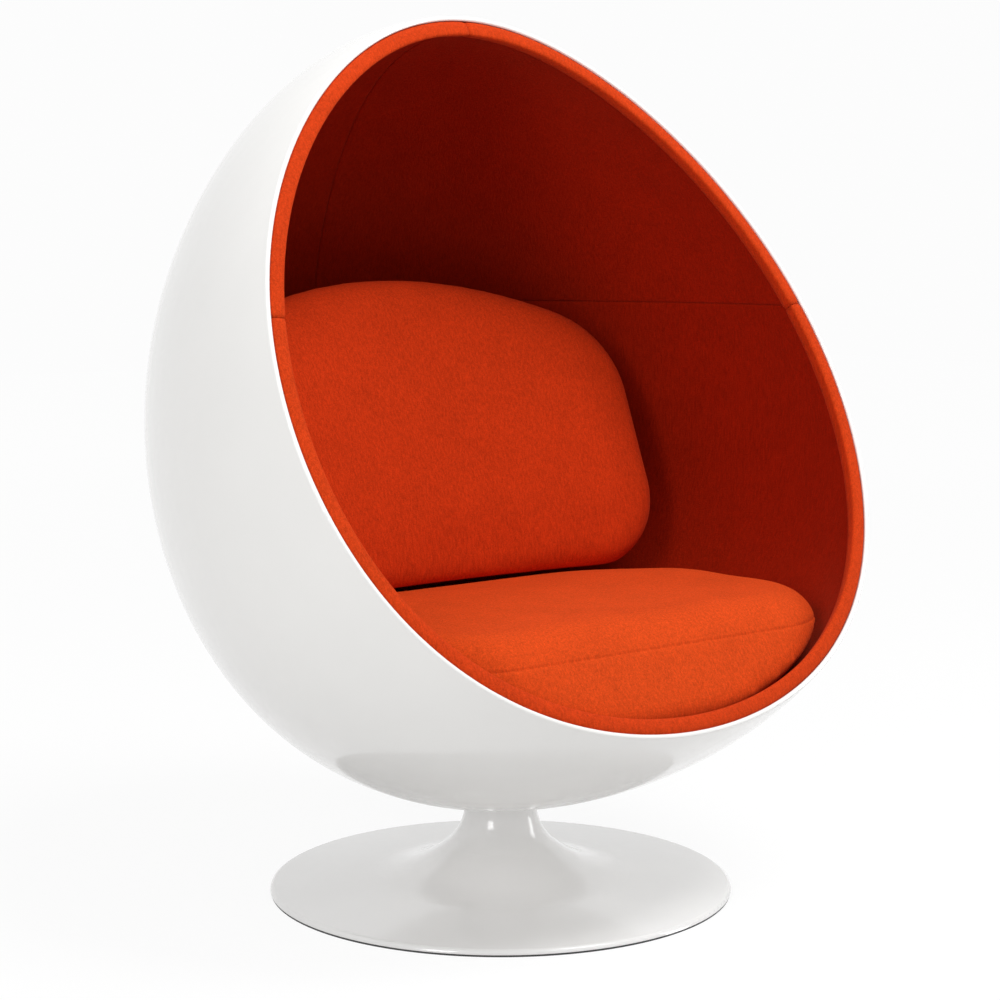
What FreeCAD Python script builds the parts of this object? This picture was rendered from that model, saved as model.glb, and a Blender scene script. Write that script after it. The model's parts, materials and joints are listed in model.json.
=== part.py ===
import FreeCAD, Part
import math
import os
import re

import Sketcher

# A pod chair: an egg-shaped glass-fibre shell lined with foam and felt, two cushions inside it,
# and a round trumpet pedestal that it swivels on. Millimetres and degrees, +Z up, -Y to the front.
# The origin is on the floor, on the swivel axis.

Vector = FreeCAD.Vector
doc = FreeCAD.newDocument("pod_chair")

# Driving dimensions

DIMENSIONS = {
    # The egg: a surface of revolution, narrow end up and tipped back
    "egg_half_length": 595,
    "egg_half_width": 540,
    "egg_taper": 0.125,
    "egg_tilt": 30,
    "egg_setback": -16,
    "opening_lean": 27.5,
    "opening_distance": 172.4,
    "shell_wall": 7,
    "lip_round": 3,
    # The lining and the padded rim
    "bond_gap": 0.2,
    "foam_thickness": 10,
    "felt_thickness": 2,
    "rim_width": 22,
    "rim_depth": 22,
    "rim_round": 8,
    "panel_seam_height": 868,
    # The seat's fixing in the bottom of the shell
    "boss_radius": 46,
    "shell_gap": 1.5,
    "block_radius": 100,
    "block_top": 162,
    "block_clearance": 3,
    "plate_radius": 60,
    "plate_thickness": 4,
    "bolt_circle_radius": 32,
    "bolt_radius": 4,
    "bolt_head_height": 5.5,
    "bolt_head_radius": 7.5,
    "washer_radius": 8.5,
    "washer_thickness": 1.6,
    "hole_clearance": 0.4,
    # The swivel
    "flange_radius": 44,
    "flange_thickness": 8,
    "spindle_radius": 15,
    "spindle_foot": 28,
    "running_clearance": 0.05,
    "face_gap": 0.1,
    "thrust_thickness": 3,
    "thrust_radius": 26,
    "bush_wall": 5,
    "bush_length": 30,
    "bush_flange": 3,
    "lower_bush_foot": 44,
    "clip_thickness": 2,
    "clip_depth": 1.5,
    "clip_width": 4,
    "clip_opening": 9,
    "retainer_thickness": 2.5,
    "retainer_clearance": 1,
    # The pedestal
    "glide_thickness": 3,
    "glide_width": 60,
    "glide_inset": 1,
    "base_radius": 347.5,
    "base_edge_height": 10,
    "base_slope": 4.5,
    "flare_radius": 200,
    "neck_flare_radius": 80,
    "neck_turn": 50,
    "neck_radius": 54,
    "neck_top": 135,
    "pedestal_wall": 2.5,
    "base_plate_radius": 296,
    "base_plate_thickness": 5,
    "column_wall": 6,
    "column_top": 110,
    "collar_height": 12,
    "collar_drop": 6,
    "gusset_length": 62,
    "gusset_height": 40,
    "gusset_nose": 6,
    "gusset_thickness": 5,
    "tab_circle_radius": 235,
    "tab_radius": 11,
    "screw_radius": 3,
    "screw_reach": 5,
    "screw_head_radius": 5.5,
    "screw_head_height": 2.2,
    "cap_lip": 4,
    "cap_wall": 2,
    "cap_depth": 7,
    # The cushions and what they rest on
    "seat_height": 450,
    "seat_thickness": 150,
    "seat_front_inset": 26,
    "seat_half_width": 430,
    "seat_back_end": 122,
    "seat_corner_round": 190,
    "seat_rear_round": 260,
    "seat_top_round": 64,
    "seat_foot_round": 26,
    "seat_side_gap": 12,
    "seat_board_thickness": 12,
    "board_gap": 3,
    "base_clearance": 2,
    "cover_thickness": 2,
    "soft_gap": 0.3,
    "tape_length": 180,
    "tape_width": 40,
    "tape_thickness": 3,
    "tape_spacing": 240,
    "back_lean": 21,
    "back_front": 80,
    "back_thickness": 140,
    "back_half_width": 406,
    "back_top": 922,
    "back_wrap_radius": 1500,
    "back_crown_radius": 720,
    "back_shoulder_round": 170,
    "back_foot_round": 130,
    "back_edge_round": 42,
}
BOLTS = 4
SCREWS = 6
GUSSETS = 4
EGG_STEPS = 16
DROP_STEPS = 2000
NEAR = 0.01


def make_sheet(name, cells):
    """A spreadsheet of named plain numbers, one to a row."""
    sheet = doc.addObject("Spreadsheet::Sheet", name)
    for row, (alias, number) in enumerate(cells.items(), start=1):
        sheet.set(f"A{row}", alias)
        sheet.set(f"B{row}", repr(number))
        sheet.setAlias(f"B{row}", alias)
    doc.recompute()
    return sheet


sizes = make_sheet("sizes", DIMENSIONS)
place_names = set()


def bound(formula):
    """The formula with each named size pointed at its cell."""
    def cell(match):
        word = match.group()
        if word in DIMENSIONS:
            return "sizes." + word
        return "places." + word if word in place_names else word
    return re.sub(r"[a-z_]+", cell, str(formula))


def amount(formula):
    """What a formula of named sizes comes to."""
    return float(sizes.evalExpression(bound(formula)))


# The egg's form and place

def egg_point(turn, inset):
    """Radius and height of the egg's outline at an angle from its wide end, moved in by the inset."""
    length, width, taper = (amount(n) for n in ("egg_half_length", "egg_half_width", "egg_taper"))
    share = -math.cos(turn)
    fullness = 1 - taper * (share + share ** 3 / 2)
    radius = width * math.sin(turn) * fullness
    radius_rate = width * math.cos(turn) * fullness
    radius_rate -= width * math.sin(turn) ** 2 * taper * (1 + 1.5 * share ** 2)
    height_rate = length * math.sin(turn)
    norm = math.hypot(radius_rate, height_rate)
    return radius - inset * height_rate / norm, length * share + inset * radius_rate / norm


def egg_drop():
    """How far the tipped egg's lowest point lies below its centre."""
    tilt = math.radians(amount("egg_tilt"))
    turns = [math.pi * step / DROP_STEPS for step in range(DROP_STEPS + 1)]
    outline = [egg_point(turn, 0) for turn in turns]
    return max(radius * math.sin(tilt) - height * math.cos(tilt) for radius, height in outline)


FLANGE_FOOT = "column_top + bush_flange + thrust_thickness + face_gap"
FLANGE_TOP = f"{FLANGE_FOOT} + flange_thickness"
LINING = "shell_wall + foam_thickness + felt_thickness + 2 * bond_gap"
CUSHION_FOOT = "seat_height - seat_thickness"
BOARD_TOP = f"{CUSHION_FOOT} - tape_thickness"
BOARD_FOOT = f"{BOARD_TOP} - seat_board_thickness"
BOLT_SEAT = "block_top + plate_thickness"
BOLT_TOP = f"{BOLT_SEAT} + washer_thickness + bolt_head_height"

centre_y = amount("egg_setback")
centre_z = amount("neck_top") - amount("shell_gap") / 2 + egg_drop()
lean = math.radians(amount("opening_lean"))
PLACES = {
    "egg_height": centre_z,
    "opening_y": centre_y - amount("opening_distance") * math.cos(lean),
    "opening_z": centre_z + amount("opening_distance") * math.sin(lean),
    "reach": 2 * amount("egg_half_length + egg_half_width"),
}
place_names.update(PLACES)
places = make_sheet("places", PLACES)


# Making pieces

nodes = {}


def node(label, feature):
    """Marks a finished feature as one separate piece of the chair."""
    feature.Label = label
    nodes[label] = feature
    return feature


def bind(feature, **formulas):
    """Ties properties of a feature to formulas of named sizes."""
    for name, formula in formulas.items():
        feature.setExpression(name, bound(formula))
    return feature


def put(feature, x="0", y="0", z="0", turn="0"):
    """Ties a feature's place, and its turn about the upright axis, to the sizes."""
    spot = f"placement(vector({x}; {y}; {z}); rotation(vector(0; 0; 1); {turn}))"
    feature.setExpression("Placement", bound(spot))
    return feature


def cylinder(label, radius, foot, height, x="0", y="0"):
    """An upright cylinder from its foot's height."""
    feature = bind(doc.addObject("Part::Cylinder", label), Radius=radius, Height=height)
    return put(feature, x, y, foot)


def block(label, low, size):
    """A block from its low corner."""
    feature = doc.addObject("Part::Box", label)
    bind(feature, Length=size[0], Width=size[1], Height=size[2])
    return put(feature, *low)


def cut(label, base, tool):
    """What is left of a feature with a second one taken away."""
    feature = doc.addObject("Part::Cut", label)
    feature.Base = base
    feature.Tool = tool
    return feature


def common(label, base, tool):
    """What two features share."""
    feature = doc.addObject("Part::Common", label)
    feature.Base = base
    feature.Tool = tool
    return feature


def fuse(label, base, tool):
    """Two features joined into one."""
    feature = doc.addObject("Part::Fuse", label)
    feature.Base = base
    feature.Tool = tool
    return feature


def group(label, features):
    """Several separate features kept together."""
    feature = doc.addObject("Part::Compound", label)
    feature.Links = features
    return feature


def round_edges(label, base, radius, wanted):
    """Rounds each edge of a feature that the test picks."""
    doc.recompute()
    feature = doc.addObject("Part::Fillet", label)
    feature.Base = base
    radius = amount(radius)
    edges = enumerate(base.Shape.Edges, start=1)
    feature.Edges = [(index, radius, radius) for index, edge in edges if wanted(edge)]
    return feature


def origin_plane(body, role):
    """One of a body's three middle planes."""
    return next(f for f in body.Origin.OriginFeatures if f.Role == role)


def new_sketch(body, label, role):
    """An empty sketch on one of a body's middle planes."""
    sketch = body.newObject("Sketcher::SketchObject", label)
    sketch.AttachmentSupport = [(origin_plane(body, role), "")]
    sketch.MapMode = "FlatFace"
    return sketch


def arc_between(start, end, radius, side):
    """The short arc between two points, its centre to the left (1) or the right (-1) of the way."""
    chord = end - start
    to_centre = Vector(-chord.y, chord.x, 0).normalize() * side
    to_centre *= math.sqrt(max(radius ** 2 - chord.Length ** 2 / 4, 0))
    centre = (start + end) * 0.5 + to_centre
    first, last = (start, end) if side > 0 else (end, start)
    angles = [math.atan2(p.y - centre.y, p.x - centre.x) for p in (first, last)]
    return Part.ArcOfCircle(Part.Circle(centre, Vector(0, 0, 1), radius), *angles)


def draw(sketch, outline):
    """Draws a closed outline. Each corner is (across, up), or (across, up, radius, side) where an
    arc leads on from it, and every corner and radius is tied to its formula."""
    corners = [Vector(amount(c[0]), amount(c[1]), 0) for c in outline]
    ends = []
    for index, corner in enumerate(outline):
        start, end = corners[index], corners[(index + 1) % len(corners)]
        if len(corner) == 2:
            sketch.addGeometry(Part.LineSegment(start, end))
            ends.append((1, 2))
        else:
            sketch.addGeometry(arc_between(start, end, amount(corner[2]), corner[3]))
            ends.append((1, 2) if corner[3] > 0 else (2, 1))
    for index in range(len(outline)):
        after = (index + 1) % len(outline)
        joined = Sketcher.Constraint("Coincident", index, ends[index][1], after, ends[after][0])
        sketch.addConstraint(joined)
    for index, corner in enumerate(outline):
        start = ends[index][0]
        for kind, axis, formula in (("DistanceX", -2, corner[0]), ("DistanceY", -1, corner[1])):
            if str(formula) == "0":
                sketch.addConstraint(Sketcher.Constraint("PointOnObject", index, start, axis))
            else:
                held = Sketcher.Constraint(kind, -1, 1, index, start, amount(formula))
                number = sketch.addConstraint(held)
                sketch.setExpression(f"Constraints[{number}]", bound(formula))
        if len(corner) > 2:
            number = sketch.addConstraint(Sketcher.Constraint("Radius", index, amount(corner[2])))
            sketch.setExpression(f"Constraints[{number}]", bound(corner[2]))


def turned(label, outline):
    """A body turned about the upright axis from an outline of (radius, height) corners."""
    body = doc.addObject("PartDesign::Body", label)
    sketch = new_sketch(body, label + "_outline", "XZ_Plane")
    draw(sketch, outline)
    feature = body.newObject("PartDesign::Revolution", label + "_turning")
    feature.Profile = sketch
    feature.ReferenceAxis = (sketch, ["V_Axis"])
    feature.Angle = 360
    return body


def padded(label, outline, length, role):
    """A body padded from an outline, as far to both sides of its plane."""
    body = doc.addObject("PartDesign::Body", label)
    sketch = new_sketch(body, label + "_outline", role)
    draw(sketch, outline)
    feature = body.newObject("PartDesign::Pad", label + "_pad")
    feature.Profile = sketch
    feature.Midplane = True
    feature.setExpression("Length", bound(length))
    return body


def ring_outline(inner, outer, foot, top):
    """The outline of a plain ring, for turning."""
    return [(inner, foot), (outer, foot), (outer, top), (inner, top)]


def round_the_axis(radius, count, index):
    """Formulas of the place of one of several pieces spread on a circle."""
    angle = 360 * (index + 0.5) / count
    return f"({radius}) * cos({angle})", f"({radius}) * sin({angle})"


def rods(label, count, circle, radius, foot, height):
    """Round rods or hole cutters spread on a circle."""
    spots = [round_the_axis(circle, count, index) for index in range(count)]
    return group(label, [cylinder(f"{label}_{index + 1}", radius, foot, height, x, y)
                         for index, (x, y) in enumerate(spots)])


# Egg layers: solids between two insets of the egg, cut off behind its opening

eggs = {}


def egg(inset):
    """The whole egg as a solid, smaller by the inset all round."""
    if inset in eggs:
        return eggs[inset]
    outline = [egg_point(math.pi * step / EGG_STEPS, amount(inset)) for step in range(EGG_STEPS + 1)]
    curve = Part.BSplineCurve()
    curve.interpolate(Points=[Vector(0, -radius, height) for radius, height in outline],
                      InitialTangent=Vector(0, -1, 0), FinalTangent=Vector(0, 1, 0), Scale=False)
    halves = [curve.toShape().revolve(Vector(), Vector(0, 0, 1), turn) for turn in (180, -180)]
    feature = doc.addObject("Part::Feature", f"egg_{len(eggs) + 1}")
    feature.Shape = Part.makeSolid(Part.makeShell(halves))
    tilt = FreeCAD.Rotation(Vector(1, 0, 0), -amount("egg_tilt"))
    feature.Placement = FreeCAD.Placement(Vector(0, centre_y, centre_z), tilt)
    eggs[inset] = feature
    return feature


def front_of_opening(label, depth):
    """A block that takes away all that lies in front of a plane behind the opening."""
    feature = bind(doc.addObject("Part::Box", label), Length="2 * reach", Width="reach",
                   Height="2 * reach")
    plane = "placement(vector(0; opening_y; opening_z); rotation(vector(-1; 0; 0); opening_lean))"
    corner = f"placement(vector(-reach; {depth} - reach; -reach); rotation(vector(0; 0; 1); 0))"
    feature.setExpression("Placement", bound(f"{plane} * {corner}"))
    return feature


def layer(label, outer, inner, depth):
    """The layer between two insets, open to the front at a depth behind the opening."""
    opened = cut(label + "_opened", egg(outer), front_of_opening(label + "_front", depth))
    return cut(label + "_layer", opened, egg(inner))


def in_opening_plane(edge):
    """Whether an edge lies flat in the plane of the opening."""
    normal = Vector(0, math.cos(lean), -math.sin(lean))
    origin = Vector(0, PLACES["opening_y"], PLACES["opening_z"])
    spots = [edge.valueAt(u) for u in (edge.FirstParameter, edge.LastParameter)]
    spots.append(edge.valueAt((edge.FirstParameter + edge.LastParameter) / 2))
    return all(abs((spot - origin).dot(normal)) < NEAR for spot in spots)


def lies_at(edge, height):
    """Whether an edge lies level at a height."""
    box = edge.BoundBox
    return abs(box.ZMin - height) < NEAR and abs(box.ZMax - height) < NEAR


def on_the_front_or_back(edge, inset):
    """Whether an edge runs along the front or the back face of the wrapped slab."""
    axis = Vector(0, -amount("back_wrap_radius"), 0)
    faces = (amount(f"back_wrap_radius + {inset}"),
             amount(f"back_wrap_radius + back_thickness - {inset}"))
    spots = [edge.valueAt(u) - axis for u in (edge.FirstParameter, edge.LastParameter)]
    reaches = [math.hypot(spot.x, spot.y) for spot in spots]
    return any(all(abs(reach - face) < NEAR for reach in reaches) for face in faces)


def upper_half(label, side):
    """The space above the cross seam, on the left (-1) or the right (1) of the middle seam."""
    low_x = "-reach" if side < 0 else "0"
    return block(label, (low_x, "-reach", "panel_seam_height"), ("reach", "2 * reach", "reach"))


def in_three(name, whole):
    """Splits a lining layer at its seams into a left, a right and a lower piece."""
    for word, side in (("left", -1), ("right", 1)):
        space = upper_half(f"{name}_{word}_space", side)
        node(f"{name}_{word}", common(f"{name}_{word}_common", whole, space))
    low = ("-reach", "-reach", "panel_seam_height")
    above = block(f"{name}_above", low, ("2 * reach", "2 * reach", "reach"))
    node(f"{name}_lower", cut(f"{name}_lower_cut", whole, above))


# The shell and its lining

def shell():
    boss = cylinder("boss", "boss_radius", FLANGE_TOP, f"egg_height - ({FLANGE_TOP})")
    whole = fuse("shell_and_boss", egg("0"), boss)
    bowl = cut("shell_opened", whole, front_of_opening("shell_front", "0"))
    rounded = round_edges("shell_lip", cut("shell_hollow", bowl, egg("shell_wall")), "lip_round",
                          in_opening_plane)
    holes = rods("shell_holes", BOLTS, "bolt_circle_radius", "bolt_radius + hole_clearance",
                 "0", "egg_height")
    node("outer_shell", cut("shell_drilled", rounded, holes))


def lining():
    foam_outer = "shell_wall + bond_gap"
    foam_inner = f"{foam_outer} + foam_thickness"
    behind_rim = "rim_depth + bond_gap"
    well = cylinder("lining_well", "block_radius + block_clearance", "0", BOLT_TOP)
    foam = layer("foam", foam_outer, foam_inner, behind_rim)
    node("lining_foam", cut("foam_with_well", foam, well))
    felt = layer("felt", f"{foam_inner} + bond_gap", LINING, behind_rim)
    in_three("felt", cut("felt_with_well", felt, well))
    band = layer("rim", foam_outer, f"{foam_outer} + rim_width", "0")
    behind = front_of_opening("rim_behind", "rim_depth")
    band = common("rim_band", band, behind)
    in_three("rim_roll", round_edges("rim_rounded", band, "rim_round", in_opening_plane))


# The fixing between the shell and the swivel

def fixing():
    holes = rods("fixing_holes", BOLTS, "bolt_circle_radius", "bolt_radius + hole_clearance",
                 "0", "egg_height")
    puck = cylinder("block_puck", "block_radius", "0", "block_top")
    puck = common("block_seated", egg("shell_wall + bond_gap"), puck)
    node("mounting_block", cut("block_drilled", puck, holes))
    disc = cylinder("plate_disc", "plate_radius", "block_top", "plate_thickness")
    node("backing_plate", cut("plate_drilled", disc, holes))
    washers = []
    bolts = []
    for index in range(BOLTS):
        x, y = round_the_axis("bolt_circle_radius", BOLTS, index)
        name = f"bolt_{index + 1}"
        disc = cylinder(f"{name}_washer_disc", "washer_radius", BOLT_SEAT, "washer_thickness", x, y)
        bore = cylinder(f"{name}_washer_bore", "bolt_radius + hole_clearance", "0", "egg_height",
                        x, y)
        washers.append(cut(f"{name}_washer", disc, bore))
        head = doc.addObject("Part::Prism", f"{name}_head")
        head.Polygon = 6
        bind(head, Circumradius="bolt_head_radius", Height="bolt_head_height")
        put(head, x, y, f"{BOLT_SEAT} + washer_thickness")
        shank = cylinder(f"{name}_shank", "bolt_radius", FLANGE_FOOT,
                         f"{BOLT_TOP} - ({FLANGE_FOOT})", x, y)
        bolts.append(fuse(name, head, shank))
    node("shell_washers", group("washers", washers))
    node("shell_bolts", group("bolts", bolts))


# The swivel

SPINDLE_BORE = "spindle_radius + running_clearance"
COLUMN_BORE = f"{SPINDLE_BORE} + bush_wall"
COLUMN_RADIUS = f"{COLUMN_BORE} + column_wall"
PLATE_TOP = "glide_thickness + base_plate_thickness"
RETAINER_FOOT = "lower_bush_foot - face_gap - retainer_thickness"
CLIP_FOOT = f"{RETAINER_FOOT} - clip_thickness"


def swivel():
    flange = turned("flange", ring_outline("spindle_radius", "flange_radius", FLANGE_FOOT, FLANGE_TOP))
    taps = rods("flange_taps", BOLTS, "bolt_circle_radius", "bolt_radius", "0", "egg_height")
    node("swivel_flange", cut("flange_tapped", flange, taps))
    waist = "spindle_radius - clip_depth"
    spindle = [("0", "spindle_foot"), ("spindle_radius", "spindle_foot"),
               ("spindle_radius", CLIP_FOOT), (waist, CLIP_FOOT), (waist, RETAINER_FOOT),
               ("spindle_radius", RETAINER_FOOT), ("spindle_radius", FLANGE_TOP), ("0", FLANGE_TOP)]
    node("spindle", turned("spindle_body", spindle))
    retainer = ring_outline(SPINDLE_BORE, f"{COLUMN_BORE} - retainer_clearance", RETAINER_FOOT,
                            "lower_bush_foot - face_gap")
    node("retaining_washer", turned("retainer", retainer))
    ring = turned("clip_ring", ring_outline(waist, f"{waist} + clip_width", CLIP_FOOT, RETAINER_FOOT))
    slot = block("clip_slot", ("-clip_opening / 2", "0", "0"), ("clip_opening", "reach", "egg_height"))
    node("retaining_clip", cut("clip", ring, slot))
    thrust = ring_outline(SPINDLE_BORE, "thrust_radius", "column_top + bush_flange",
                          "column_top + bush_flange + thrust_thickness")
    node("thrust_washer", turned("thrust", thrust))
    upper = [(SPINDLE_BORE, "column_top - bush_length"), (COLUMN_BORE, "column_top - bush_length"),
             (COLUMN_BORE, "column_top"), (COLUMN_RADIUS, "column_top"),
             (COLUMN_RADIUS, "column_top + bush_flange"), (SPINDLE_BORE, "column_top + bush_flange")]
    node("upper_bush", turned("upper_sleeve", upper))
    lower = ring_outline(SPINDLE_BORE, COLUMN_BORE, "lower_bush_foot", "lower_bush_foot + bush_length")
    node("lower_bush", turned("lower_sleeve", lower))


# The pedestal

EDGE_RADIUS = "(base_edge_height - glide_thickness)"
EDGE_R = f"(base_radius - {EDGE_RADIUS} * (1 - sin(base_slope)))"
EDGE_Z = f"(glide_thickness + {EDGE_RADIUS} * cos(base_slope))"
KNEE_R = "(neck_radius + neck_flare_radius * (1 - cos(neck_turn)))"
FOOT_R = f"({KNEE_R} + flare_radius * (cos(neck_turn) - sin(base_slope)))"
FOOT_Z = f"({EDGE_Z} + ({EDGE_R} - {FOOT_R}) * tan(base_slope))"
KNEE_Z = f"({FOOT_Z} + flare_radius * (cos(base_slope) - sin(neck_turn)))"
NECK_Z = f"({KNEE_Z} + neck_flare_radius * sin(neck_turn))"


def trumpet(label, wall, foot, top):
    """The pedestal's form, made smaller by a wall: edge, sloping disc, two flare arcs and neck."""
    edge = f"base_radius - {wall}"
    return turned(label, [
        ("0", foot),
        (edge, foot),
        (edge, "glide_thickness", f"{EDGE_RADIUS} - {wall}", 1),
        (f"{EDGE_R} - {wall} * sin(base_slope)", f"{EDGE_Z} - {wall} * cos(base_slope)"),
        (f"{FOOT_R} - {wall} * sin(base_slope)", f"{FOOT_Z} - {wall} * cos(base_slope)",
         f"flare_radius + {wall}", -1),
        (f"{KNEE_R} - {wall} * cos(neck_turn)", f"{KNEE_Z} - {wall} * sin(neck_turn)",
         f"neck_flare_radius + {wall}", -1),
        (f"neck_radius - {wall}", NECK_Z),
        (f"neck_radius - {wall}", top),
        ("0", top),
    ])


def pedestal():
    form = trumpet("trumpet_form", "0", "0", "neck_top")
    form = cut("trumpet_trimmed", form, cylinder("under_edge", "reach", "0", "glide_thickness"))
    inside = trumpet("trumpet_inside", "pedestal_wall", "-glide_thickness", "2 * neck_top")
    node("pedestal_trumpet", cut("trumpet_hollow", form, inside))

    glide_outer = "base_radius - glide_inset"
    glide = ring_outline(f"{glide_outer} - glide_width", glide_outer, "0", "glide_thickness")
    node("glide_ring", turned("glide", glide))
    plate = turned("ballast", ring_outline(COLUMN_BORE, "base_plate_radius", "glide_thickness", PLATE_TOP))
    holes = rods("ballast_holes", SCREWS, "tab_circle_radius", "screw_radius + hole_clearance",
                 "0", "neck_top")
    node("base_plate", cut("ballast_drilled", plate, holes))
    column = ring_outline(COLUMN_BORE, COLUMN_RADIUS, PLATE_TOP, "column_top")
    node("column_tube", turned("column", column))
    collar_top = "column_top - collar_drop"
    collar = turned("collar", ring_outline(COLUMN_RADIUS, "flare_radius",
                                           f"{collar_top} - collar_height", collar_top))
    node("neck_collar", common("collar_fitted", collar, inside))

    ribs = []
    for index in range(GUSSETS):
        root = f"{COLUMN_RADIUS} - gusset_thickness / 4"
        tip = f"{COLUMN_RADIUS} + gusset_length"
        rib = padded(f"rib_{index + 1}", [
            (root, PLATE_TOP), (tip, PLATE_TOP), (tip, f"{PLATE_TOP} + gusset_nose"),
            (f"{COLUMN_RADIUS} + gusset_nose", f"{PLATE_TOP} + gusset_height"),
            (root, f"{PLATE_TOP} + gusset_height")], "gusset_thickness", "XZ_Plane")
        ribs.append(put(rib, turn=str(360 * index / GUSSETS)))
    core = cylinder("rib_core", COLUMN_RADIUS, "0", "neck_top")
    node("column_gussets", cut("ribs_fitted", group("ribs", ribs), core))

    tabs = rods("tab_rods", SCREWS, "tab_circle_radius", "tab_radius", PLATE_TOP, "neck_top")
    taps = rods("tab_taps", SCREWS, "tab_circle_radius", "screw_radius", "0", "neck_top")
    node("trumpet_tabs", cut("tabs_tapped", common("tabs_fitted", tabs, inside), taps))
    screws = []
    for index in range(SCREWS):
        x, y = round_the_axis("tab_circle_radius", SCREWS, index)
        head = cylinder(f"screw_{index + 1}_head", "screw_head_radius",
                        "glide_thickness - screw_head_height", "screw_head_height", x, y)
        shank = cylinder(f"screw_{index + 1}_shank", "screw_radius", "glide_thickness",
                         "base_plate_thickness + screw_reach", x, y)
        screws.append(fuse(f"screw_{index + 1}", head, shank))
    node("base_screws", group("screws", screws))
    plug = "glide_thickness + cap_depth"
    lip = f"{COLUMN_BORE} + cap_lip"
    cap = [("0", "0"), (lip, "0"), (lip, "glide_thickness"), (COLUMN_BORE, "glide_thickness"),
           (COLUMN_BORE, plug), (f"{COLUMN_BORE} - cap_wall", plug),
           (f"{COLUMN_BORE} - cap_wall", "glide_thickness"), ("0", "glide_thickness")]
    node("bottom_cap", turned("cap", cap))


# The seat inside the shell

def seat_support():
    inside = egg(f"{LINING} + soft_gap")
    foot = f"{BOLT_TOP} + base_clearance"
    slab = block("support_slab", ("-reach", "-reach", foot),
                 ("2 * reach", "2 * reach", f"{BOARD_FOOT} - ({foot})"))
    node("seat_support", common("support", inside, slab))
    slab = block("board_slab", ("-reach", "-reach", BOARD_FOOT),
                 ("2 * reach", "2 * reach", "seat_board_thickness"))
    node("seat_board", common("board", egg(f"{LINING} + board_gap"), slab))
    tapes = []
    for index, side in enumerate((-1, 1), start=1):
        low = (f"{side} * tape_spacing / 2 - tape_width / 2", "-tape_length / 2", BOARD_TOP)
        tapes.append(block(f"tape_{index}", low, ("tape_width", "tape_length", "tape_thickness")))
    node("grip_tapes", group("tapes", tapes))


def seat_pad(name, inset):
    """The seat cushion's form: a plan with round corners, raised along the lean of the opening,
    rounded at top and foot, and kept clear of the lining."""
    foot = f"{CUSHION_FOOT} + {inset}"
    top = f"seat_height - {inset}"
    front = (f"(opening_y + (seat_front_inset + {inset}) / cos(opening_lean)"
             f" + ({foot} - opening_z) * tan(opening_lean))")
    half = f"(seat_half_width - {inset})"
    corner = f"(seat_corner_round - {inset})"
    rear = f"(seat_rear_round - {inset})"
    back = f"(seat_back_end - {inset})"
    plan = doc.addObject("Sketcher::SketchObject", f"{name}_plan")
    put(plan, z=foot)
    draw(plan, [
        (f"-{half} + {corner}", front),
        (f"{half} - {corner}", front, corner, 1),
        (half, f"{front} + {corner}"),
        (half, f"{back} - {rear}", rear, 1),
        (f"{half} - {rear}", back),
        (f"-{half} + {rear}", back, rear, 1),
        (f"-{half}", f"{back} - {rear}"),
        (f"-{half}", f"{front} + {corner}", corner, 1),
    ])
    raised = doc.addObject("Part::Extrusion", f"{name}_raised")
    raised.Base = plan
    raised.DirMode = "Custom"
    raised.Solid = True
    raised.setExpression("Dir.x", "0")
    raised.setExpression("Dir.y", bound("sin(opening_lean)"))
    raised.setExpression("Dir.z", bound("cos(opening_lean)"))
    raised.setExpression("LengthFwd", bound(f"({top} - ({foot})) / cos(opening_lean)"))
    form = raised
    for word, height in (("top", top), ("foot", foot)):
        form = round_edges(f"{name}_{word}", form, f"seat_{word}_round - {inset}",
                           lambda edge: lies_at(edge, amount(height)))
    return common(f"{name}_form", egg(f"{LINING} + seat_side_gap + {inset}"), form)


def back_pad(name, inset):
    """The back cushion's form: a leaning, gently wrapped slab with a domed top."""
    half = f"(back_half_width - {inset})"
    top = f"((back_top - seat_height) / cos(back_lean) - {inset})"
    crown = f"(back_crown_radius - {inset})"
    shoulder = f"(back_shoulder_round - {inset})"
    foot = f"(back_foot_round - {inset})"
    rise = f"sqrt(({crown} - {shoulder}) ^ 2 - ({half} - {shoulder}) ^ 2)"
    share = f"{crown} / ({crown} - {shoulder})"
    across = f"({half} - {shoulder}) * {share}"
    up = f"{top} - {crown} + {rise} * {share}"
    side_top = f"{top} - {crown} + {rise}"
    slab = padded(f"{name}_slab", [
        (f"-{half} + {foot}", inset),
        (f"{half} - {foot}", inset, foot, 1),
        (half, f"{inset} + {foot}"),
        (half, side_top, shoulder, 1),
        (across, up, crown, 1),
        (f"-({across})", up, shoulder, 1),
        (f"-{half}", side_top),
        (f"-{half}", f"{inset} + {foot}", foot, 1),
    ], "4 * back_thickness", "XZ_Plane")
    tall = "2 * reach"
    outer = cylinder(f"{name}_outer", f"back_wrap_radius + back_thickness - {inset}", "-reach", tall,
                     y="-back_wrap_radius")
    inner = cylinder(f"{name}_inner", f"back_wrap_radius + {inset}", "-reach", tall,
                     y="-back_wrap_radius")
    wrap = cut(f"{name}_wrap", outer, inner)
    upright = common(f"{name}_upright", slab, wrap)
    rounded = round_edges(f"{name}_rounded", upright, f"back_edge_round - {inset}",
                          lambda edge: on_the_front_or_back(edge, inset))
    spot = ("placement(vector(0; back_front; seat_height + soft_gap); "
            "rotation(vector(-1; 0; 0); back_lean))")
    rounded.setExpression("Placement", bound(spot))
    above = block(f"{name}_above", ("-reach", "-reach", f"seat_height + soft_gap + {inset}"),
                  ("2 * reach", "2 * reach", "reach"))
    seated = common(f"{name}_seated", rounded, above)
    return common(f"{name}_form", seated, egg(f"{LINING} + soft_gap + {inset}"))


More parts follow.
